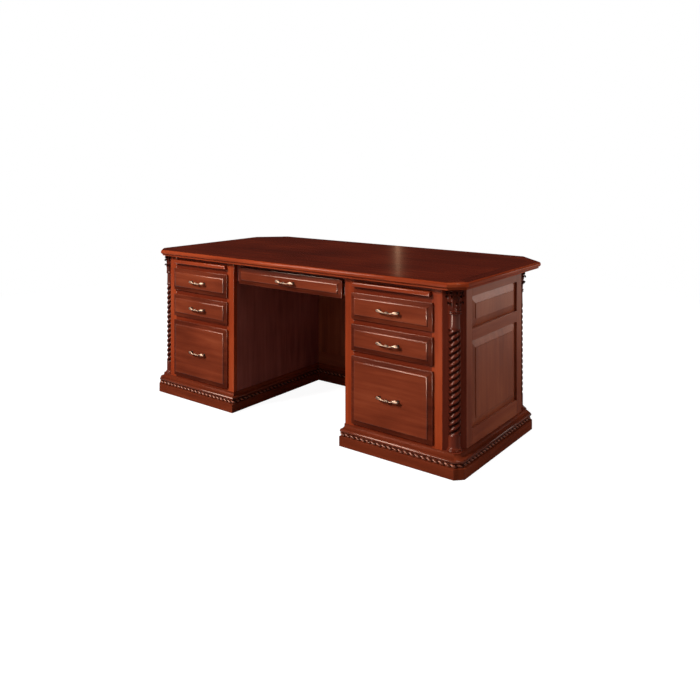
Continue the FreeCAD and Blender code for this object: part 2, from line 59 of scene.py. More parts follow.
cameraData = bpy.data.cameras.new("deskCamera")
cameraData.lens = camera["lens"]
cameraData.sensor_width = camera["sensor"]
cameraData.shift_y = -camera["shiftDown"]
cameraObject = bpy.data.objects.new("deskCamera", cameraData)
cameraObject.location = camera["place"]
cameraObject.rotation_euler = (math.radians(90), 0, math.radians(camera["turn"]))
scene.collection.objects.link(cameraObject)
scene.camera = cameraObject
print("camera set")


# Node graphs, for shaders and for geometry
class Wire:
    def __init__(self, graph, socket):
        self.graph = graph
        self.socket = socket

    def __add__(self, other):
        return self.graph.sum("ADD", self, other)

    __radd__ = __add__

    def __sub__(self, other):
        return self.graph.sum("SUBTRACT", self, other)

    def __rsub__(self, other):
        return self.graph.sum("SUBTRACT", other, self)

    def __mul__(self, other):
        return self.graph.sum("MULTIPLY", self, other)

    __rmul__ = __mul__

    def __truediv__(self, other):
        return self.graph.sum("DIVIDE", self, other)

    def __rtruediv__(self, other):
        return self.graph.sum("DIVIDE", other, self)

    def __pow__(self, other):
        return self.graph.sum("POWER", self, other)

    def __abs__(self):
        return self.graph.sum("ABSOLUTE", self)


class Graph:
    def __init__(self, tree):
        self.tree = tree

    def add(self, kind, settings=None, inputs=None, output=0):
        node = self.tree.nodes.new(kind)
        for key, value in (settings or {}).items():
            if key == "stops":
                ramp = node.color_ramp
                while len(ramp.elements) < len(value):
                    ramp.elements.new(0.5)
                for element, (position, colour) in zip(ramp.elements, value):
                    element.position = position
                    element.color = (*colour, 1)
            else:
                setattr(node, key, value)
        for key, value in (inputs or {}).items():
            if isinstance(value, Wire):
                self.tree.links.new(value.socket, node.inputs[key])
            else:
                node.inputs[key].default_value = value
        self.last = node
        return Wire(self, node.outputs[output]) if len(node.outputs) else None

    def sum(self, operation, *values):
        return self.add("ShaderNodeMath", {"operation": operation}, dict(enumerate(values)))

    def limited(self, value):
        return self.add("ShaderNodeClamp", {}, {"Value": value})

    def attribute(self, name, output="Fac"):
        return self.add("ShaderNodeAttribute", {"attribute_name": name}, {}, output)

    def noise(self, place, scale, detail, roughness=0.5):
        values = {"Vector": place, "Scale": scale, "Detail": detail, "Roughness": roughness}
        return self.add("ShaderNodeTexNoise", {}, values, "Fac")

    def mixColour(self, factor, first, second):
        ends = [value if isinstance(value, Wire) else (*value, 1) for value in (first, second)]
        return self.add("ShaderNodeMix", {"data_type": "RGBA"}, {0: factor, 6: ends[0], 7: ends[1]}, 2)


def colourOf(red, green, blue):
    # a screen colour, 0 to 255, as linear values
    steps = [channel / 255 for channel in (red, green, blue)]
    return tuple(s / 12.92 if s <= 0.04045 else ((s + 0.055) / 1.055) ** 2.4 for s in steps)


def openMaterial(name):
    material = bpy.data.materials.new(name)
    material.use_nodes = True
    material.node_tree.nodes.clear()
    return material, Graph(material.node_tree)


def closeMaterial(graph, inputs, height, strength, distance):
    # the shader with its constants on its own sockets, and a bump of its own height
    values = {"Height": height, "Strength": strength, "Distance": distance}
    inputs["Normal"] = graph.add("ShaderNodeBump", {}, values)
    shader = graph.add("ShaderNodeBsdfPrincipled", {}, inputs)
    graph.add("ShaderNodeOutputMaterial", {}, {"Surface": shader})


# Wood: stained and lacquered cherry, and the plain wood inside
cherryLook = {
    "deep": colourOf(82, 30, 17),
    "middle": colourOf(125, 53, 31),
    "light": colourOf(155, 75, 46),
    "figure": 1.0,
    "roughness": 0.26,
    "specular": 0.012,
    "coat": 0.0,             # polish on the flat faces
    "curveCoat": 1.0,        # polish added where a face is rounded
    "coatRoughness": 0.12,
}


def stained(deep, middle, light, **changes):
    # the wood in other colours, and with what else differs
    return dict(cherryLook, deep=colourOf(*deep), middle=colourOf(*middle), light=colourOf(*light), **changes)


baseLook = stained((72, 26, 14), (112, 45, 24), (140, 62, 36), curveCoat=0.8, specular=0.03)
ropeLook = stained((84, 36, 24), (128, 66, 46), (154, 86, 64), coatRoughness=0.24)
frameLook = stained((108, 36, 16), (152, 58, 27), (176, 78, 42), specular=0.03)
edgeLook = dict(frameLook, curveCoat=0.22)
fieldLook = stained((108, 47, 29), (149, 74, 46), (171, 94, 64), specular=0.3, roughness=0.3)
panelLook = stained((98, 40, 24), (137, 63, 38), (162, 85, 55), curveCoat=0.3, specular=0.2, roughness=0.3)
# painted light: a paler copy of the cherry for the kneehole, where little light reaches
kneeLitLook = stained((98, 45, 38), (144, 76, 65), (172, 96, 82))
cornerLook = stained((78, 29, 20), (122, 50, 34), (150, 70, 49))
# painted shade: a darker copy of the cherry for the level faces on top, the desk top and the moulding's upper
# face
shadedTopLook = stained((66, 17, 8), (93, 27, 12), (120, 41, 19), specular=0.03, coat=0.05, curveCoat=0.0)
glazeLook = stained((62, 20, 12), (98, 36, 21), (126, 54, 33), curveCoat=0.42)
insideLook = stained((168, 122, 78), (198, 154, 106), (222, 184, 136), figure=0.7, roughness=0.45,
                     specular=0.3, curveCoat=0.0, coatRoughness=0.2)
woodGrain = {
    # the noises: scale along the grain and across it, detail, roughness and shift
    "figure": (0.9, 5.5, 3.0, 0.45, 0.0),
    "ribbons": (2.2, 42.0, 4.0, 0.6, 7.3),
    "blotches": (2.4, 4.2, 2.0, 0.5, 31.7),
    "pores": (26.0, 620.0, 2.0, 0.5, 3.1),
    "ringCount": 58.0,
    "ringTone": 0.030,       # how much each of them changes the tone
    "ribbonTone": 0.55,
    "blotchTone": 0.80,
    "stops": (0.12, 0.5, 0.88),
    "poreLimit": 0.42,       # noise below this is a pore
    "poreEdge": 5.0,
    "poreDark": 0.35,
    "poreDepth": 0.6,
    "ribbonRough": 0.10,     # how much each changes the roughness
    "poreRough": 0.06,
    "hollowRough": 0.25,
    "hollowLimit": 0.82,     # carving below this gets painted shade and is dull
    "hollowEdge": 2.0,
    "hollowDark": 0.9,
    "hollowShade": 0.22,     # the colour of the painted shade in the hollows, as a share of the deep one
}
grainFields = {"board": "XYZ", "x": "XYZ", "y": "YXZ", "z": "ZXY"}
woodMaterials = {}


def wood(name, look, along, carved=False):
    # along is x, y or z, or board where each board carries its own grain coordinates
    key = (name, along, carved)
    if key in woodMaterials:
        return woodMaterials[key]
    material, graph = openMaterial(name + "Along" + along.capitalize() + ("Carved" if carved else ""))
    if along == "board":
        source = graph.attribute("grainAt", "Vector")
    else:
        source = graph.add("ShaderNodeTexCoord", {}, {}, "Object")
    graph.add("ShaderNodeSeparateXYZ", {}, {0: source})
    length, across, depth = [Wire(graph, graph.last.outputs[field]) for field in grainFields[along]]

    def noise(kind):
        alongScale, acrossScale, detail, roughness, shift = woodGrain[kind]
        place = graph.add("ShaderNodeCombineXYZ", {}, {
            "X": length * alongScale + shift, "Y": across * acrossScale, "Z": depth * acrossScale})
        return graph.noise(place, 1.0, detail, roughness)

    rings = graph.sum("SINE", noise("figure") * woodGrain["ringCount"])
    ribbons = noise("ribbons")
    tone = 0.5 + rings * (woodGrain["ringTone"] * look["figure"])
    tone = tone + (ribbons - 0.5) * (woodGrain["ribbonTone"] * look["figure"])
    tone = tone + (noise("blotches") - 0.5) * woodGrain["blotchTone"]
    if along == "board":
        tone = tone + graph.attribute("boardTone")
    stops = list(zip(woodGrain["stops"], (look["deep"], look["middle"], look["light"])))
    colour = graph.add("ShaderNodeValToRGB", {"stops": stops}, {0: graph.limited(tone)}, "Color")
    pits = graph.limited((woodGrain["poreLimit"] - noise("pores")) * woodGrain["poreEdge"])
    colour = graph.mixColour(pits * woodGrain["poreDark"], colour, look["deep"])
    roughness = look["roughness"] + (ribbons - 0.5) * woodGrain["ribbonRough"] + pits * woodGrain["poreRough"]
    coat = look["coat"]
    if along == "board":
        coat = coat + graph.attribute("curved") * look["curveCoat"]
    # painted shade: where the carve attribute is low, in the carving's hollows, the colour turns dark
    if carved:
        carve = graph.attribute("carve")
        hollow = graph.limited((woodGrain["hollowLimit"] - carve) * woodGrain["hollowEdge"])
        shade = [channel * woodGrain["hollowShade"] for channel in look["deep"]]
        colour = graph.mixColour(hollow * woodGrain["hollowDark"], colour, shade)
        roughness = roughness + hollow * woodGrain["hollowRough"]
        coat = coat * (1.0 - hollow)
    closeMaterial(graph, {
        "Base Color": colour,
        "Roughness": roughness,
        "Specular IOR Level": look["specular"],
        "Coat Weight": coat,
        "Coat Roughness": look["coatRoughness"],
    }, pits * -woodGrain["poreDepth"], 0.15, 0.0003)
    woodMaterials[key] = material
    return material


# Metal and nylon
metalColours = {
    "brassLow": colourOf(128, 115, 104),
    "brassHigh": colourOf(154, 141, 130),
    "patina": colourOf(38, 25, 17),          # in the hollows of the casting
    "steelLow": colourOf(148, 152, 158),
    "steelHigh": colourOf(186, 190, 194),
    "nylonLow": colourOf(22, 22, 24),
    "nylonHigh": colourOf(44, 44, 46),
}


def castMetal():
    material, graph = openMaterial("antiqueBrass")
    place = graph.add("ShaderNodeTexCoord", {}, {}, "Object")
    mottle = graph.noise(place, 260.0, 4.0)
    patina = graph.limited((0.62 - graph.attribute("carve")) * 2.2 + (mottle - 0.5) * 0.9)
    bright = graph.mixColour(mottle, metalColours["brassLow"], metalColours["brassHigh"])
    closeMaterial(graph, {
        "Base Color": graph.mixColour(patina, bright, metalColours["patina"]),
        "Metallic": 1.0,
        "Roughness": 0.46 + patina * 0.2,
    }, mottle, 0.15, 0.0004)
    return material


def slideMetal():
    material, graph = openMaterial("slideSteel")
    place = graph.add("ShaderNodeTexCoord", {}, {}, "Object")
    stretched = graph.add("ShaderNodeMapping", {}, {"Vector": place, "Scale": (180.0, 6.0, 180.0)})
    brushed = graph.noise(stretched, 1.0, 3.0)
    spangle = graph.add("ShaderNodeTexVoronoi", {}, {"Vector": place, "Scale": 140.0}, "Distance")
    closeMaterial(graph, {
        "Base Color": graph.mixColour(spangle, metalColours["steelHigh"], metalColours["steelLow"]),
        "Metallic": 1.0,
        "Roughness": 0.28 + brushed * 0.2,
    }, brushed, 0.1, 0.0002)
    return material


def glideNylon():
    material, graph = openMaterial("blackNylon")
    place = graph.add("ShaderNodeTexCoord", {}, {}, "Object")
    specks = graph.noise(place, 900.0, 2.0)
    colour = graph.mixColour(specks, metalColours["nylonLow"], metalColours["nylonHigh"])
    closeMaterial(graph, {"Base Color": colour, "Roughness": 0.45 + specks * 0.2}, specks, 0.2, 0.0003)
    return material


brass = castMetal()
steel = slideMetal()
nylon = glideNylon()
print("materials made")


# Helpers for pieces
def paintNode(name, material):
    mesh = nodes[name].data
    if not mesh.materials:
        mesh.materials.append(material)
    for index in range(len(mesh.materials)):
        mesh.materials[index] = material
    for slot in nodes[name].material_slots:
        slot.material = material


def finishPiece(name, mesh, material, body, replaced, smoothAngle):
    mesh.name = name
    mesh.materials.clear()
    mesh.materials.append(material)
    mesh.polygons.foreach_set("material_index", [0] * len(mesh.polygons))
    mesh.polygons.foreach_set("use_smooth", [True] * len(mesh.polygons))
    mesh.set_sharp_from_angle(angle=math.radians(smoothAngle))
    mesh.update()
    piece = bpy.data.objects.new(name, mesh)
    scene.collection.objects.link(piece)
    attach(piece, body)
    if replaced:
        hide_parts(*replaced)


def joined(meshes):
    # several meshes as one, with the attributes that the materials read
    whole = bmesh.new()
    for mesh in meshes:
        whole.from_mesh(mesh)
    result = bpy.data.meshes.new("joined")
    whole.to_mesh(result)
    whole.free()
    return result


def store(mesh, name, values, domain="POINT"):
    # an attribute that a material or a tree reads, a number or a vector for each point or face
    values = np.asarray(values, np.float32)
    kind, field = ("FLOAT_VECTOR", "vector") if values.ndim == 2 else ("FLOAT", "value")
    mesh.attributes.new(name, kind, domain).data.foreach_set(field, values.ravel())


def meshFrom(points, faces, carve, grain=None):
    # a closed mesh with all that the carved materials read
    mesh = bpy.data.meshes.new("shape")
    mesh.from_pydata(points, [], faces)
    work = bmesh.new()
    work.from_mesh(mesh)
    bmesh.ops.recalc_face_normals(work, faces=work.faces)
    work.to_mesh(mesh)
    work.free()
    store(mesh, "carve", carve)
    store(mesh, "grainAt", points if grain is None else grain)
    store(mesh, "boardTone", np.zeros(len(points)))
    store(mesh, "curved", np.ones(len(points)))
    return mesh


# Frames, mouldings, fronts and boxes: each board gets eased edges and grain along its length
boards = {
    "ease": 0.0008,        # width of the eased edges
    "corner": 40.0,        # edges sharper than this are eased, in degrees
    "flat": 0.4,           # faces that differ by less than this are one, in degrees
    "toneSpread": 0.05,    # how much one board differs from the next
    "grainSpread": 40,     # how far the boards lie apart in the wood's pattern
    "strip": 0.0034,       # faces narrower than this belong to a rounding and are shaded smooth
    "slopeMargin": 0.7,    # how well a sloping border's tilt is met, in degrees
    "weld": 0.00003,       # points nearer than this are one
    "smooth": 30,
    "straight": 0.99999,   # how squarely a face points along an axis to count as straight
    "steep": 0.97,         # and how far up: past this a curve is dull, or belongs to the top
    "topFace": 0.93,
}
drawerBodies = [sideName + "_" + kind + "_drawer" for sideName in sides for kind in ("file", "middle", "top")]
drawerBodies.append("centre_drawer")
frontTones = {"right_middle_drawer": -0.16, "left_file_drawer": -0.08, "right_top_drawer": 0.05}


def solidsOf(name):
    # a node's loose triangles, as one merged set of points and faces for each solid
    source = nodes[name].data
    places = np.array([v.co for v in source.vertices]).reshape(-1, 3)
    keys = [tuple(row) for row in np.round(places, 5)]
    triangles = [tuple(keys[i] for i in p.vertices) for p in source.polygons]
    owners = {}
    for index, corners in enumerate(triangles):
        for a, b in zip(corners, corners[1:] + corners[:1]):
            owners.setdefault((min(a, b), max(a, b)), []).append(index)
    group = list(range(len(triangles)))

    def root(index):
        while group[index] != index:
            group[index] = group[group[index]]
            index = group[index]
        return index

    for users in owners.values():
        if len(users) == 2:
            group[root(users[0])] = root(users[1])
    found = {}
    for index, corners in enumerate(triangles):
        if len(set(corners)) == 3:
            found.setdefault(root(index), []).append(corners)
    # a group of fewer than four triangles is a sliver left beside its solid, whose gap is filled later
    return [found[key] for key in sorted(found) if len(found[key]) > 3]


def closeGaps(work):
    # welds near points and fills the narrow gaps that the slivers left
    bmesh.ops.remove_doubles(work, verts=work.verts, dist=boards["weld"])
    bmesh.ops.dissolve_degenerate(work, edges=work.edges, dist=boards["weld"])
    gaps = [e for e in work.edges if len(e.link_faces) == 1]
    bmesh.ops.holes_fill(work, edges=gaps, sides=0)
    bmesh.ops.recalc_face_normals(work, faces=work.faces)


def grainAxis(points):
    # the horizontal, upright or 45 degree direction in which a board is long
    diagonal = math.sqrt(0.5)
    spans = points.max(0) - points.min(0)
    slants = [np.array((diagonal, diagonal, 0)), np.array((diagonal, -diagonal, 0))]
    reach = [np.ptp(points @ axis) for axis in slants]
    for index in (0, 1):
        if reach[index] > 2 * reach[1 - index] and reach[index] > spans[2]:
            return slants[index]
    axis = np.zeros(3)
    axis[int(np.argmax(spans))] = 1
    return axis


def leaning(face, slope):
    # true on the sloping border of a front, whose tilt in degrees is given
    if not slope:
        return False
    tilt = math.degrees(math.acos(min(1.0, abs(face.normal.y))))
    return abs(tilt - slope) < boards["slopeMargin"]


def rounded(face):
    # true for the narrow strips that round an edge, false for broad and for straight faces
    spans = [e.calc_length() for e in face.edges]
    width = face.calc_area() / max(spans) * (2 if len(spans) == 3 else 1)
    straight = max(abs(part) for part in face.normal) > boards["straight"]
    return width < boards["strip"] and not straight


def easedBoard(corners):
    # one board as a closed solid with eased edges
    work = bmesh.new()
    made = {}
    for triangle in corners:
        for key in triangle:
            if key not in made:
                made[key] = work.verts.new(key)
    for triangle in corners:
        try:
            work.faces.new([made[key] for key in triangle])
        except ValueError:
            pass             # the same triangle for a second time
    closeGaps(work)
    flat, limit = math.radians(boards["flat"]), math.radians(boards["corner"])
    bmesh.ops.dissolve_limit(work, angle_limit=flat, verts=work.verts, edges=work.edges)
    sharp = [e for e in work.edges if len(e.link_faces) == 2 and e.calc_face_angle(0) > limit]
    bmesh.ops.bevel(work, geom=sharp, offset=boards["ease"], segments=2, profile=0.5,
                    affect="EDGES", clamp_overlap=True)
    work.verts.index_update()
    return work


def grainPlaces(points, axis, chance):
    # where each point lies in the wood's pattern, whose x runs along the board
    upright = np.array((0, 0, 1.0)) if abs(axis[2]) < 0.5 else np.array((1.0, 0, 0))
    middle = (points.max(0) + points.min(0)) / 2
    local = (points - middle) @ np.stack([axis, upright, np.cross(upright, axis)], 1)
    return local + [chance.uniform(0, boards["grainSpread"]) for step in range(3)]


def dressBoards(name, materialName, look, body="case", slotName="cherry_wood", **options):
    # options are along, the grain's direction; slope, for a front's sloping border, and slopeTone, painted
    # shade on it;
    # tone, and railTone, painted shade on level boards; polish, the heights between which curves are
    # polished;
    # and flatTop, the darker wood painted as shade on the level face on top
    chance = random.Random(name)
    lowPolish, highPolish = options.get("polish", (-1.0, 9.0))
    places, faces, grains, tones, bends, curves = [], [], [], [], [], []
    for corners in solidsOf(name):
        work = easedBoard(corners)
        points = np.array([v.co for v in work.verts])
        axis = np.array(options["along"], float) if "along" in options else grainAxis(points)
        grains += grainPlaces(points, axis, chance).tolist()
        tone = chance.uniform(-1, 1) * boards["toneSpread"] + options.get("tone", 0)
        # painted shade: boards running along x, the rails between the fronts and under the top, are darkened
        # as shade
        tone += options.get("railTone", 0) if abs(axis[0]) > 0.9 else 0
        base = len(places)
        places += points.tolist()
        for face in work.faces:
            face.normal_update()
            lean = leaning(face, options.get("slope"))
            bent = rounded(face) and not lean
            within = lowPolish < face.calc_center_median().z < highPolish
            faces.append([base + v.index for v in face.verts])
            bends.append(bent)
            # painted shade: a front's sloping border is coloured darker than its field
            tones.append(tone + (options["slopeTone"] if lean else 0.0))
            curves.append(1.0 if bent and within and abs(face.normal.z) < boards["steep"] else 0.0)
        work.free()
    whole = bpy.data.meshes.new(name + "Boards")
    whole.from_pydata(places, [], faces)
    store(whole, "grainAt", grains)
    store(whole, "boardTone", tones, "FACE")
    store(whole, "curved", curves, "FACE")
    material = wood(materialName, look, "board")
    finishPiece(name + "_boards", whole, material, body, (name,), boards["smooth"])
    whole.polygons.foreach_set("use_smooth", bends)
    # painted shade: the faces that point up get the darker top wood
    if "flatTop" in options:
        whole.materials.append(wood(*options["flatTop"], "board"))
        level = [1 if p.normal.z > boards["topFace"] else 0 for p in whole.polygons]
        whole.polygons.foreach_set("material_index", level)


dressBoards("top_edge_moulding", "cherryEdge", edgeLook, slotName="cherry_top",
            flatTop=("cherryTop", shadedTopLook))
dressBoards("base_plinth", "cherryBase", baseLook, polish=(-1.0, 0.03))
dressBoards("base_cap_moulding", "cherryBase", baseLook, polish=(0.055, 0.0785))
dressBoards("back_frame", "cherryPanel", panelLook)
for sideName in sides:
    # the face frames' rails get painted shade
    dressBoards(sideName + "_face_frame", "cherryFrame", frameLook, railTone=-0.6)
    dressBoards(sideName + "_end_frame", "cherryPanel", panelLook)
for body in drawerBodies:
    # the fronts' sloping borders are painted darker as shade
    dressBoards(body + "_front", "cherry", cherryLook, body, along=(1, 0, 0), slope=12.53, slopeTone=-0.26,
                tone=frontTones.get(body, 0.0))
for sideName in sides:
    dressBoards(sideName + "_writing_board", "cherryFrame", frameLook, sideName + "_board",
                along=(1, 0, 0), tone=-0.1)
for body in drawerBodies:
    dressBoards(body + "_box", "inside", insideLook, body, "drawer_wood")
print("frames, mouldings and boxes dressed")


# Boards of one grain direction keep their solids, and so do the metal and nylon parts
plainWood = {  # material, look and grain direction
    "desk_top": ("cherryTop", shadedTopLook, "x"),
    "right_end_panels": ("cherryField", fieldLook, "z"),
    "left_end_panels": ("cherryField", fieldLook, "z"),
    "back_panels": ("cherryPanel", panelLook, "z"),
    "kneehole_sides": ("cherryKnee", kneeLitLook, "z"),
    "kneehole_rail": ("cherryKnee", kneeLitLook, "x"),
    "centre_drawer_hangers": ("cherryKnee", kneeLitLook, "y"),
    "corner_boards": ("cherryCorner", cornerLook, "z"),
    "column_blocks": ("cherryCorner", cornerLook, "z"),
    "pedestal_bottoms": ("inside", insideLook, "y"),
    "pedestal_partitions": ("inside", insideLook, "y"),
    "slide_rails": ("inside", insideLook, "y"),
    "writing_board_guides": ("inside", insideLook, "y"),
    "corner_glue_blocks": ("inside", insideLook, "z"),
}
for name, finish in plainWood.items():
    paintNode(name, wood(*finish))
steelNodes = ["cabinet_slide_members", "top_brackets"]
steelNodes += [body + "_slides" for body in drawerBodies]
steelNodes += [sideName + "_file_drawer_intermediates" for sideName in sides]
for name in steelNodes:
    paintNode(name, steel)
paintNode("floor_glides", nylon)
print("plain boards finished")


# Geometry trees
def openTree(name, inputs):
    # a tree with named inputs, whose material comes last
    tree = bpy.data.node_groups.new(name, "GeometryNodeTree")
    tree.is_modifier = True
    for label, kind in {"Geometry": "Geometry", **inputs, "Material": "Material"}.items():
        tree.interface.new_socket(label, in_out="INPUT", socket_type="NodeSocket" + kind)
    tree.interface.new_socket("Geometry", in_out="OUTPUT", socket_type="NodeSocketGeometry")
    graph = Graph(tree)
    graph.add("NodeGroupInput")
    given = {socket.name: Wire(graph, socket) for socket in graph.last.outputs if socket.name}
    return tree, graph, given


def closeTree(graph, shape, material):
    shape = graph.add("GeometryNodeRealizeInstances", {}, {"Geometry": shape})
    shape = graph.add("GeometryNodeSetMaterial", {}, {"Geometry": shape, "Material": material})
    graph.add("NodeGroupOutput", {}, {"Geometry": shape})


# Rope carving: a half round whose strands twist along a path
baseRope = {
    "radius": 0.0078,
    "pitch": 0.0280,
    "twist": -0.75,        # strand pitches that a strand gains over the half round
    "grooveDepth": 0.0042,
    "strandPower": 1.5,
    "step": 0.0022,
    "fade": 0.0001,
    "kneeHalf": 0.339,     # half the width between the bands of the kneehole
    "clip": 0.0309,        # how far the clipped corners cut in
    "backGap": 0.012,      # how far the band at the kneehole's back lies before the back panels
    "mitre": 0.0004,       # how far from a corner the band begins to turn
}
columnRope = {
    "radius": 0.0262,
    "pitch": 0.0265,
    "twist": -1.7,
    "grooveDepth": 0.0080,
    "strandPower": 1.5,
    "step": 0.0021,
    "fade": 0.012,
}
ropeInputs = ("radius", "pitch", "twist", "grooveDepth", "strandPower", "step", "fade")
ropeSurface = {
    "arcPoints": 15,
    "rimPower": 3.0,       # painted shade: the rope darkens towards its two edges
    "rimShade": 0.6,
    "grainWidth": 0.04,
    "grainDepth": 0.3,
}


def ropeTree():
    tree, graph, given = openTree("twistedRope", {label: "Float" for label in ropeInputs})
    position = graph.add("GeometryNodeInputPosition")

    def kept(shape, name, value, kind="FLOAT"):
        settings = {"data_type": kind, "domain": "POINT"}
        values = {"Geometry": shape, "Name": name, "Value": value}
        return graph.add("GeometryNodeStoreNamedAttribute", settings, values)

    def named(name, kind="FLOAT"):
        return graph.add("GeometryNodeInputNamedAttribute", {"data_type": kind}, {"Name": name}, "Attribute")

    def vector(operation, values):
        return graph.add("ShaderNodeVectorMath", {"operation": operation}, values)

    path = graph.add("GeometryNodeMeshToCurve", {}, {"Mesh": given["Geometry"]})
    spacing = {"Curve": path, "Length": given["step"]}
    path = graph.add("GeometryNodeResampleCurve", {"mode": "LENGTH"}, spacing)
    upward = {"Curve": path, "Normal": named("facing", "FLOAT_VECTOR")}
    path = graph.add("GeometryNodeSetCurveNormal", {"mode": "FREE"}, upward)
    along = graph.add("GeometryNodeSplineParameter", {}, {}, "Length")
    total = graph.add("GeometryNodeSplineLength", {}, {}, "Length")
    path = kept(path, "runLength", along)
    path = kept(path, "endRoom", graph.sum("MINIMUM", along, total - along))
    path = kept(path, "heart", position, "FLOAT_VECTOR")
    profile = graph.add("GeometryNodeCurveArc", {"mode": "RADIUS"}, {
        "Resolution": ropeSurface["arcPoints"], "Radius": given["radius"],
        "Start Angle": math.radians(-90), "Sweep Angle": math.radians(180), "Connect Center": True})
    level = graph.add("ShaderNodeSeparateXYZ", {}, {0: position}, "X")
    rise = Wire(graph, graph.last.outputs["Y"])
    profile = kept(profile, "around", graph.sum("ARCTAN2", rise, level) / math.pi + 0.5)
    swept = {"Curve": path, "Profile Curve": profile, "Fill Caps": True}
    rope = graph.add("GeometryNodeCurveToMesh", {}, swept)
    phase = named("runLength") / given["pitch"] + named("around") * given["twist"]
    groove = abs(graph.sum("FRACT", phase) * 2.0 - 1.0) ** given["strandPower"]
    groove = groove * graph.limited(named("endRoom") / given["fade"])
    inward = vector("SUBTRACT", {0: named("heart", "FLOAT_VECTOR"), 1: position})
    inward = vector("NORMALIZE", {0: inward})
    offset = vector("SCALE", {0: inward, "Scale": groove * given["grooveDepth"]})
    # painted shade: the carve value, and so the colour, falls in the grooves and towards the rope's two edges
    rim = abs(named("around") * 2.0 - 1.0) ** ropeSurface["rimPower"]
    rope = kept(rope, "carve", (1.0 - groove) * (1.0 - rim * ropeSurface["rimShade"]))
    rope = graph.add("GeometryNodeSetPosition", {}, {"Geometry": rope, "Offset": offset})
    width = named("around") * ropeSurface["grainWidth"]
    grainAt = {"X": named("runLength"), "Y": width, "Z": ropeSurface["grainDepth"]}
    grainAt = graph.add("ShaderNodeCombineXYZ", {}, grainAt)
    rope = kept(rope, "grainAt", grainAt, "FLOAT_VECTOR")
    rope = kept(rope, "boardTone", 0.0)
    rope = kept(rope, "curved", 1.0)
    rope = graph.add("GeometryNodeSetShadeSmooth", {}, {"Geometry": rope})
    closeTree(graph, rope, given["Material"])
    return tree


def treeResult(tree, source, values):
    # runs a tree on a mesh, with its inputs set by identifier, and gives back a plain mesh
    holder = bpy.data.objects.new("holder", source)
    scene.collection.objects.link(holder)
    modifier = holder.modifiers.new("tree", "NODES")
    modifier.node_group = tree
    for item in tree.interface.items_tree:
        if item.in_out == "INPUT" and item.name in values:
            modifier[item.identifier] = values[item.name]
    bpy.context.view_layer.update()
    depsgraph = bpy.context.evaluated_depsgraph_get()
    mesh = bpy.data.meshes.new_from_object(
        holder.evaluated_get(depsgraph), preserve_all_data_layers=True, depsgraph=depsgraph)
    holder.modifiers.remove(modifier)
    bpy.data.objects.remove(holder)
    return mesh


def ropeAlong(tree, points, facings, closed, sizes, material):
    # the rope as a mesh, on a path whose points each face outwards
    path = bpy.data.meshes.new("path")
    edges = [(i, i + 1) for i in range(len(points) - 1)]
    if closed:
        edges.append((len(points) - 1, 0))
    path.from_pydata(points, edges, [])
    store(path, "facing", facings)
    values = {label: float(sizes[label]) for label in ropeInputs}
    values["Material"] = material
    return treeResult(tree, path, values)


def basePath():
    # the rope's centre line round both pedestals and the kneehole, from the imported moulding
    low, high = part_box("base_rope_moulding")
    inset = baseRope["radius"]
    half = high.x - inset
    front = low.y + inset
    rear = high.y - inset
    knee = baseRope["kneeHalf"] + inset
    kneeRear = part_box("back_panels")[0].y - baseRope["backGap"] + inset
    cut = baseRope["clip"] - inset * (2 - math.sqrt(2))
    height = (low.z + high.z) / 2
    corners = [(half - cut, front), (half, front + cut), (half, rear - cut), (half - cut, rear),
               (cut - half, rear), (-half, rear - cut), (-half, front + cut), (cut - half, front),
               (-knee, front), (-knee, kneeRear), (knee, kneeRear), (knee, front)]
    points, facings = [], []
    for here, there in zip(corners, corners[1:] + corners[:1]):
        start, end = Vector((*here, height)), Vector((*there, height))
        along = (end - start).normalized()
        outward = Vector((along.y, -along.x, 0))
        for point in (start + along * baseRope["mitre"], end - along * baseRope["mitre"]):
            points.append(tuple(point))
            facings.append(tuple(outward))
    return points, facings


rope = ropeTree()
points, facings = basePath()
perimeter = sum((Vector(b) - Vector(a)).length for a, b in zip(points, points[1:] + points[:1]))
baseRope["pitch"] = perimeter / round(perimeter / baseRope["pitch"])
ropeWood = wood("cherryRope", ropeLook, "board", carved=True)
mesh = ropeAlong(rope, points, facings, True, baseRope, ropeWood)
finishPiece("base_rope_carving", mesh, ropeWood, "case", ("base_rope_moulding",), 75)
print("base rope carved")


# Columns: turned parts, rope shafts and capitals
column = {
    "leg": 0.072,            # how far the corner board cuts in along each face
    "steps": 28,             # faces round the half turn
    "ropeFoot": 0.158,       # heights of the rope's two ends
    "ropeTop": 0.592,
    "core": 0.0180,          # radii under the rope and at its ends
    "shaft": 0.0258,
    "neck": 0.0250,
    "collar": 0.1036,        # from the column's top down to the collar, and to the capital's foot
    "capital": 0.0876,
    "dull": 0.088,           # from the top down to here the turning has little polish
    "dullPolish": 0.2,
}
# radius and height from the foot or from the collar, and a roll's own radius and half angle
footProfile = [
    (0.0315, 0.0), (0.0302, 0.0026, 0.0026, 90), (0.0300, 0.0056), (0.0290, 0.0082, 0.0022, 90),
    (0.0285, 0.0106), (0.0268, 0.0122), (0.0260, 0.0150), (0.0258, 0.0200)]
headProfile = [
    (0.0242, -0.0100), (0.0246, -0.0010), (0.0258, 0.0030, 0.0030, 90), (0.0252, 0.0075),
    (0.0262, 0.0110, 0.0030, 90), (0.0240, 0.0155), (0.0262, 0.0275), (0.0268, 0.0555),
    (0.0288, 0.0755), (0.0300, 0.0855), (0.0305, 0.0911), (0.0330, 0.0921),
    (0.0325, 0.0956, 0.0032, 70), (0.0325, 0.0996), (0.0350, 0.1004), (0.0350, 0.1036)]
leaf = {
    "across": 11,
    "along": 18,
    "thickness": 0.0020,
    "lobes": 3.0,
    "lobeDepth": 0.20,
    "rib": 0.0014,
    "ribWidth": 0.16,        # as a share of the half width
    "vein": 0.0007,
    "cup": 0.0032,
}


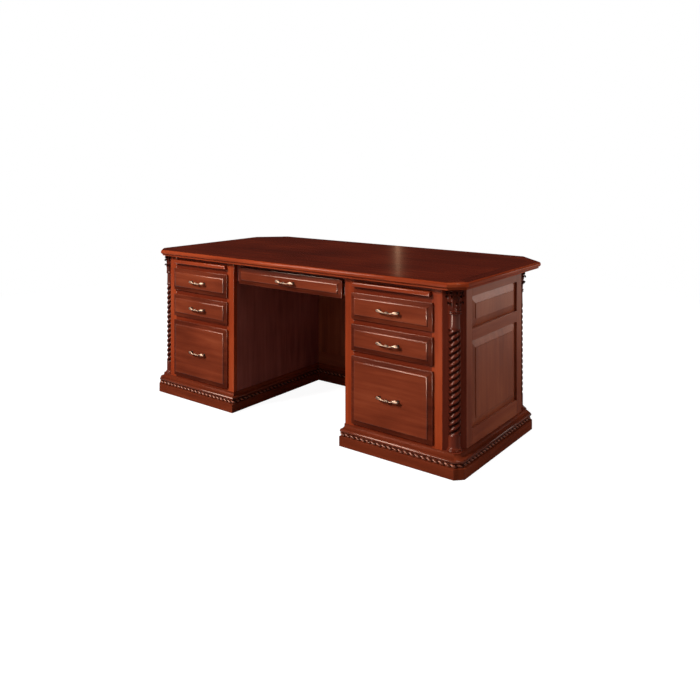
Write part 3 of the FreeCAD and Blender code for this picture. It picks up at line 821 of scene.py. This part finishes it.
def halfTurned(centre, facing, profile, dullAbove):
    # a half round turned from a profile of radius and height, with a flat back and closed ends
    start = math.atan2(facing.y, facing.x) - math.pi / 2
    steps = column["steps"]
    points, faces, grain = [], [], []
    for index in range(steps + 1):
        angle = start + math.pi * index / steps
        for radius, height in profile:
            across, deep = radius * math.cos(angle), radius * math.sin(angle)
            points.append((centre[0] + across, centre[1] + deep, height))
            grain.append((height, across + 2, deep + 5))
    count = len(profile)
    for index in range(steps):
        for row in range(count - 1):
            a = index * count + row
            faces.append((a, a + count, a + count + 1, a + 1))
    base = len(points)
    for radius, height in profile:
        points.append((centre[0], centre[1], height))
        grain.append((height, 2, 5))
    for row in range(count - 1):
        faces.append((row, row + 1, base + row + 1, base + row))
        far = steps * count + row
        faces.append((far, base + row, base + row + 1, far + 1))
    for row in (0, count - 1):
        for index in range(steps):
            a = index * count + row
            faces.append((a, a + count, base + row))
    mesh = meshFrom(points, faces, np.ones(len(points)), grain)
    shine = [column["dullPolish"] if point[2] > dullAbove else 1.0 for point in points]
    mesh.attributes["curved"].data.foreach_set("value", shine)
    return mesh


def profilePoints(table, start, rollSteps=6):
    points = []
    for radius, height, *roll in table:
        if not roll:
            points.append((radius, start + height))
            continue
        size, reach = roll
        for step in range(rollSteps + 1):
            angle = math.radians(-reach + 2 * reach * step / rollSteps)
            points.append((radius + size * math.cos(angle), start + height + size * math.sin(angle)))
    return points


def turnedProfile(low, high):
    # rolls and cove at the foot, plain foot, core of the rope, neck, double ring, bell and abacus
    foot, top = column["ropeFoot"], column["ropeTop"]
    profile = profilePoints(footProfile, low)
    profile += [(column["shaft"], foot), (column["core"], foot + 0.001), (column["core"], top - 0.001)]
    profile += [(column["shaft"], top), (column["neck"], top + 0.004)]
    return profile + profilePoints(headProfile, high - column["collar"])


def leafMesh(outline, cupped):
    # a carved leaf round the column's axis: it climbs the bell and its tip curls outward
    rows, columns = leaf["along"], leaf["across"]
    knots = np.linspace(0, 1, len(outline))
    steps = np.linspace(0, 1, rows)
    radii, heights, halves = [np.interp(steps, knots, measure) for measure in outline.T]
    for table in (radii, heights):
        table[1:-1] = (table[:-2] + 2 * table[1:-1] + table[2:]) / 4
    tangents = np.gradient(np.stack([radii, heights], 1), axis=0)
    tangents /= np.linalg.norm(tangents, axis=1)[:, None]
    front, back, carve = [], [], []
    for row in range(rows):
        v = steps[row]
        lobed = 1 - leaf["lobeDepth"] * abs(math.sin(math.pi * leaf["lobes"] * v)) ** 0.8
        normal = (tangents[row][1], -tangents[row][0])
        for cell in range(columns):
            u = -1 + 2 * cell / (columns - 1)
            ridge = leaf["rib"] * math.exp(-(u / leaf["ribWidth"]) ** 2)
            vein = leaf["vein"] * math.cos(u * 9 + v * 16 * (1 if u > 0 else -1))
            lift = ridge + vein - cupped * leaf["cup"] * u * u
            radius = radii[row] + lift * normal[0]
            height = heights[row] + lift * normal[1]
            angle = u * halves[row] * lobed / max(radii[row], 0.02)
            front.append((radius * math.cos(angle), radius * math.sin(angle), height))
            inner = radius - leaf["thickness"] * normal[0]
            innerHeight = height - leaf["thickness"] * normal[1]
            back.append((inner * math.cos(angle), inner * math.sin(angle), innerHeight))
            # painted shade: the leaf's carve value is low near its foot, off its rib and veins, and on its
            # back, which darkens it there
            relief = 0.42 + 0.75 * ridge / leaf["rib"] + 420 * max(0.0, vein) + 0.35 * v
            carve.append(min(1.0, relief))
    points = front + back
    shift = len(front)
    faces = []
    for row in range(rows - 1):
        for cell in range(columns - 1):
            a = row * columns + cell
            faces.append((a, a + 1, a + columns + 1, a + columns))
            faces.append((shift + a, shift + a + columns, shift + a + columns + 1, shift + a + 1))
    rim = list(range(columns))
    rim += [row * columns + columns - 1 for row in range(1, rows)]
    rim += [(rows - 1) * columns + cell for cell in range(columns - 2, -1, -1)]
    rim += [row * columns for row in range(rows - 2, 0, -1)]
    for a, b in zip(rim, rim[1:] + rim[:1]):
        faces.append((a, shift + a, shift + b, b))
    return meshFrom(points, faces, carve + [0.3] * shift)


def leafTree():
    tree, graph, given = openTree("leafRing", {
        "Leaf": "Object", "Count": "Int", "First turn": "Float", "Turn step": "Float", "Centre": "Vector"})
    spots = graph.add("GeometryNodePoints", {}, {"Count": given["Count"], "Position": given["Centre"]})
    turn = given["First turn"] + graph.add("GeometryNodeInputIndex") * given["Turn step"]
    turned = graph.add("FunctionNodeAxisAngleToRotation", {}, {"Axis": (0.0, 0.0, 1.0), "Angle": turn})
    shape = graph.add("GeometryNodeObjectInfo", {}, {"Object": given["Leaf"]}, "Geometry")
    placed = {"Points": spots, "Instance": shape, "Rotation": turned}
    closeTree(graph, graph.add("GeometryNodeInstanceOnPoints", {}, placed), given["Material"])
    return tree


leafTables = {  # how much it is cupped, then its radius, height and half width along its length, in mm
    "lowerLeaf": (1.0, [
        (26.0, 0, 8.0), (26.6, 9, 9.0), (27.4, 18, 10.0), (28.6, 25, 10.5),
        (30.6, 30, 10.0), (32.6, 31.5, 8.0), (33.6, 29.5, 5.5), (33.0, 27.0, 2.5)]),
    "upperLeaf": (1.0, [
        (26.8, 0, 6.0), (27.4, 12, 7.5), (28.2, 22, 9.0), (29.4, 31, 10.0),
        (31.8, 37, 10.0), (34.0, 39, 8.5), (35.2, 37, 6.5), (34.6, 33.5, 3.5)]),
    "scroll": (0.2, [
        (27.5, 0, 3.0), (28.3, 9, 3.6), (29.6, 16, 4.2), (32.0, 20.5, 4.6), (34.6, 20.5, 4.6),
        (35.6, 17.5, 4.2), (34.6, 14.5, 3.8), (33.2, 15.0, 3.2), (33.4, 16.5, 2.6)]),
}
tiers = [  # leaf, how many, first turn and step in degrees, height above the capital's foot
    ("lowerLeaf", 3, -58.0, 58.0, 0.0),
    ("upperLeaf", 4, -84.0, 56.0, 0.020),
    ("scroll", 5, -80.0, 40.0, 0.055),
]


def leafObject(name):
    cupped, table = leafTables[name]
    piece = bpy.data.objects.new(name, leafMesh(np.array(table) / 1000, cupped))
    scene.collection.objects.link(piece)
    return piece


leaves = leafTree()
leafObjects = {name: leafObject(name) for name in leafTables}
# the glaze wood with painted shade in the carving's hollows, for the rope shafts and the leaves
glazeWithHollowShade = wood("cherryGlaze", glazeLook, "board", carved=True)
plainGlaze = wood("cherryGlaze", glazeLook, "board")
caseLow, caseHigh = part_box("corner_boards")
outerX = max(abs(caseLow.x), abs(caseHigh.x)) - column["leg"] / 2
for sideName, side in sides.items():
    turnedParts, ropes, capitals = [], [], []
    low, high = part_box(sideName + "_columns")
    profile = turnedProfile(low.z, high.z)
    for faceY, inward in ((caseLow.y, 1), (caseHigh.y, -1)):
        centre = (side * outerX, faceY + inward * column["leg"] / 2)
        facing = Vector((side, -inward, 0)).normalized()
        turnedParts.append(halfTurned(centre, facing, profile, high.z - column["dull"]))
        ends = [(*centre, column["ropeFoot"]), (*centre, column["ropeTop"])]
        ropes.append(ropeAlong(rope, ends, [tuple(facing)] * 2, False, columnRope, glazeWithHollowShade))
        toward = math.atan2(facing.y, facing.x)
        for name, count, first, step, raised in tiers:
            capitals.append(treeResult(leaves, bpy.data.meshes.new("blank"), {
                "Leaf": leafObjects[name],
                "Count": count,
                "First turn": toward + math.radians(first),
                "Turn step": math.radians(step),
                "Centre": (*centre, high.z - column["capital"] + raised),
                "Material": glazeWithHollowShade,
            }))
    for ending, parts, material, replaced, smoothAngle in (
            ("_turned_columns", turnedParts, plainGlaze, (sideName + "_columns",), 40),
            ("_rope_shafts", ropes, glazeWithHollowShade, (), 75),
            ("_capital_leaves", capitals, glazeWithHollowShade, (), 60)):
        finishPiece(sideName + ending, joined(parts), material, "case", replaced, smoothAngle)
for piece in leafObjects.values():
    bpy.data.objects.remove(piece)
print("columns carved")


# Bow pulls: a cast ribbon with two leaf loops and a knot, on two posts with screws
pull = {
    "half": 0.0580,
    "standOff": 0.019,       # from the front's face to the ribbon's middle
    "spacing": 0.096,        # between the two posts
    "ringSteps": 20,
    "lengthSteps": 110,
    "lobe": (22, 42, 59),    # where the ribbon's lobes begin, are full and end, in mm
    "swirl": (24, 8),        # middle and width of the twist beside the knot, in mm
    "leftLobe": (1.3, -6, 30),      # hollow, and the turns of lobe and swirl in degrees
    "rightLobe": (0.5, 10, -30),
    "hollowWidth": 0.74,     # as a share of the ribbon's height
    "boxFront": 0.012,       # the board behind the front, where the screws' heads lie
}
# distance outside the front's face, or behind the box's front board, and radius
postFoot = [
    (0.0068, 0.0038), (0.0040, 0.0046), (0.0028, 0.0056), (0.0020, 0.0062), (0.0008, 0.0062), (0.0, 0.0060)]
screwHead = [
    (0.0, 0.0020), (0.0, 0.0040), (0.0010, 0.0040), (0.0020, 0.0034),
    (0.0025, 0.0022), (0.0016, 0.0014), (0.0016, 0.0004)]
# distance from the middle, half height, half depth, hollow, height of the middle line and setback, in mm
bowTable = [
    (0.0, 4.8, 5.0, 0.0, -2.2, -1.0),
    (3.6, 6.0, 5.8, 0.0, -2.0, -1.6),
    (7.0, 4.6, 4.8, 0.0, -2.6, -1.0),
    (11.0, 2.6, 3.2, 0.0, -3.8, -0.2),
    (17.0, 2.3, 3.0, 0.0, -4.4, 0.0),
    (23.0, 2.9, 3.0, 0.1, -3.2, 0.0),
    (29.0, 4.4, 3.4, 0.5, -1.4, 0.0),
    (36.0, 6.2, 3.8, 1.0, 0.0, 0.2),
    (43.0, 7.0, 4.0, 1.3, 0.6, 0.6),
    (49.0, 6.6, 3.9, 1.2, 0.8, 1.6),
    (54.0, 5.0, 3.4, 0.9, 0.6, 3.0),
    (57.2, 3.0, 2.4, 0.4, 0.2, 4.0),
    (58.6, 1.7, 1.6, 0.1, 0.0, 4.5),
    (59.0, 0.5, 0.5, 0.0, 0.0, 4.6),
]


def bowSection(x):
    # half height, half depth, hollow, rise, setback and twist of the ribbon at x
    reach = abs(x) * 1000
    at, *measures = zip(*bowTable)
    half, depth, hollow, rise, setback = [float(np.interp(reach, at, row)) / 1000 for row in measures]
    loop = float(np.interp(reach, pull["lobe"], (0, 1, 1)))
    middle, width = pull["swirl"]
    swirl = math.exp(-((reach - middle) / width) ** 2)
    deepened, lobeTurn, swirlTurn = pull["leftLobe"] if x < 0 else pull["rightLobe"]
    twist = math.radians(lobeTurn * loop + swirlTurn * swirl)
    return half, depth, hollow * deepened, rise, setback, twist


def tubeFaces(base, rows, count):
    # the wall between rows of points that each close on themselves, and its two ends
    faces = []
    for start in range(base, base + (rows - 1) * count, count):
        for ring in range(count):
            a, b = start + ring, start + (ring + 1) % count
            faces.append((a, b, b + count, a + count))
    last = base + (rows - 1) * count
    return faces + [tuple(range(base, base + count)), tuple(range(last, last + count))]


def bowMesh(centreX, face, height, back):
    rings, steps = pull["ringSteps"], pull["lengthSteps"]
    points, faces, carve = [], [], []
    axisY = face - pull["standOff"]
    for index in range(steps + 1):
        x = -pull["half"] + 2 * pull["half"] * index / steps
        half, depth, hollow, rise, setback, twist = bowSection(x)
        for ring in range(rings):
            angle = 2 * math.pi * ring / rings
            up = half * math.sin(angle)
            out = depth * math.cos(angle)
            dish = 0.0
            if math.cos(angle) > 0:
                dish = hollow * max(0.0, 1 - (up / half / pull["hollowWidth"]) ** 2) ** 0.7
            out -= dish
            y = -(out * math.cos(twist) - up * math.sin(twist))
            z = out * math.sin(twist) + up * math.cos(twist)
            points.append((centreX + x, axisY + setback + y, height + rise + z))
            carve.append(1.0 - min(0.8, dish / 0.003 * 0.8) - (0.5 if math.cos(angle) < -0.5 else 0.0))
    faces += tubeFaces(0, steps + 1, rings)

    def turnedAlongY(x, profile, count):
        faces.extend(tubeFaces(len(points), len(profile), count))
        for y, radius in profile:
            for ring in range(count):
                angle = 2 * math.pi * ring / count
                points.append((x + radius * math.cos(angle), y, height + radius * math.sin(angle)))
                carve.append(0.3)

    post = [(axisY - 0.0005, 0.0036), (axisY + 0.006, 0.0036)]
    post += [(face - out, radius) for out, radius in postFoot]
    screw = [(face - 0.001, 0.0020)] + [(back + out, radius) for out, radius in screwHead]
    for x in (centreX - pull["spacing"] / 2, centreX + pull["spacing"] / 2):
        turnedAlongY(x, post, 20)
        turnedAlongY(x, screw, 12)
    return meshFrom(points, faces, carve)


for body in drawerBodies:
    frontLow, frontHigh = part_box(body + "_front")
    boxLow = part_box(body + "_box")[0]
    middle = (frontLow + frontHigh) / 2
    mesh = bowMesh(middle.x, frontLow.y, middle.z, boxLow.y + pull["boxFront"])
    finishPiece(body + "_bow_pull", mesh, brass, body, (body + "_pull",), 50)
print("pulls cast")


# Floor, light and background
studio = {
    "floor": 0.24,
    "floorLift": 0.94,      # white added to what the camera sees of the floor
    "floorGlow": 0.9,       # the far floor's brightness in reflections
    "near": 2.4,            # between these distances the floor turns white, and glows in reflections
    "far": 4.4,
    "floorHalf": 20,
    "floorHeight": -0.0005,
    "fill": 0.24,
    "front": 0.08,          # brightness round the desk in reflections, before and behind it
    "rear": 0.03,
    "mirroredColour": (1.0, 0.84, 0.72, 1.0),
    "lampGreen": 0.63,      # how much green a warm lamp loses, as a share of the blue
}


def raysSeen(graph):
    # camera rays, and the glossy and transmission rays
    direct = graph.add("ShaderNodeLightPath", {}, {}, "Is Camera Ray")
    rays = graph.last.outputs
    mirrored = Wire(graph, rays["Is Glossy Ray"]) + Wire(graph, rays["Is Transmission Ray"])
    return direct, graph.limited(mirrored)


def shining(graph, kind, strength, colour=(1, 1, 1, 1)):
    # kind is Emission or Background
    return graph.add("ShaderNode" + kind, {}, {"Color": colour, "Strength": strength})


def mixShader(graph, factor, first, second):
    return graph.add("ShaderNodeMixShader", {}, {0: factor, 1: first, 2: second})


def floorMaterial():
    material, graph = openMaterial("paleFloor")
    direct, mirrored = raysSeen(graph)
    matte = graph.add("ShaderNodeBsdfDiffuse", {}, {"Color": (*[studio["floor"]] * 3, 1)})
    spot = graph.add("ShaderNodeNewGeometry", {}, {}, "Position")
    reach = graph.add("ShaderNodeVectorMath", {"operation": "LENGTH"}, {0: spot}, "Value")
    away = graph.limited((reach - studio["near"]) / (studio["far"] - studio["near"]))
    lift = shining(graph, "Emission", studio["floorLift"])
    raised = graph.add("ShaderNodeAddShader", {}, {0: matte, 1: lift})
    shown = mixShader(graph, away, raised, shining(graph, "Emission", 1.0))
    glow = shining(graph, "Emission", studio["floorGlow"], studio["mirroredColour"])
    reflected = mixShader(graph, away * mirrored, matte, glow)
    graph.add("ShaderNodeOutputMaterial", {}, {"Surface": mixShader(graph, direct, reflected, shown)})
    return material


half, height = studio["floorHalf"], studio["floorHeight"]
floorCorners = [(-half, -half, height), (half, -half, height), (half, half, height), (-half, half, height)]
floorMesh = bpy.data.meshes.new("floor")
floorMesh.from_pydata(floorCorners, [], [(0, 1, 2, 3)])
floorMesh.materials.append(floorMaterial())
floor = bpy.data.objects.new("floor", floorMesh)
scene.collection.objects.link(floor)

world = bpy.data.worlds.new("studio")
world.use_nodes = True
world.node_tree.nodes.clear()
graph = Graph(world.node_tree)
direct, mirrored = raysSeen(graph)
toward = graph.add("ShaderNodeTexCoord", {}, {}, "Generated")
behind = graph.limited(graph.add("ShaderNodeSeparateXYZ", {}, {0: toward}, "Y") * 3.0 + 0.5)
front = shining(graph, "Background", studio["front"], studio["mirroredColour"])
rear = shining(graph, "Background", studio["rear"], studio["mirroredColour"])
reflected = mixShader(graph, behind, front, rear)
around = mixShader(graph, mirrored, shining(graph, "Background", studio["fill"]), reflected)
both = mixShader(graph, direct, around, shining(graph, "Background", 1.0))
graph.add("ShaderNodeOutputWorld", {}, {"Surface": both})
scene.world = world

lamps = [  # name, place, aim, size, power, warmth, lights the object, is mirrored in it
    ("keySoftbox", (-3.4, -7.7, 6.5), (0.0, 0.0, 0.4), (1.7, 2.8), 1060.0, 1.0, True, False),
    ("sideFill", (3.4, 1.8, 1.5), (0.9, 0.0, 0.35), (2.0, 2.0), 35.0, 1.0, True, False),
    ("wideShine", (-1.9, -3.4, 2.4), (0.3, -0.4, 1.5), (2.2, 3.6), 370.0, 0.62, False, True),
    ("lowShine", (0.32, -2.2, 0.25), (0.8, -0.4, 0.5), (0.8, 0.45), 22.0, 0.62, False, True),
    ("topShine", (2.7, -1.3, 2.3), (0.9, -0.4, 0.1), (0.6, 0.4), 12.0, 0.7, False, True),
    ("panelShine", (2.4, 2.7, 0.8), (0.95, 0.0, 0.5), (1.2, 0.5), 5.0, 0.8, False, True),
    ("topStreak", (-1.82, 3.33, 1.28), (0.375, 0.0, 0.787), (0.04, 0.5), 0.16, 0.35, False, True),
]
for name, place, aim, size, power, warmth, lights, mirrors in lamps:
    data = bpy.data.lights.new(name, "AREA")
    data.shape = "RECTANGLE"
    data.size, data.size_y = size
    data.energy = power
    data.color = (1.0, 1 - studio["lampGreen"] * (1 - warmth), warmth)
    lamp = bpy.data.objects.new(name, data)
    lamp.visible_camera = False
    lamp.visible_diffuse = lights
    lamp.visible_glossy = mirrors
    lamp.location = place
    lamp.rotation_euler = (Vector(aim) - Vector(place)).to_track_quat("-Z", "Y").to_euler()
    scene.collection.objects.link(lamp)
scene.view_settings.view_transform = "Standard"
print("studio lit")
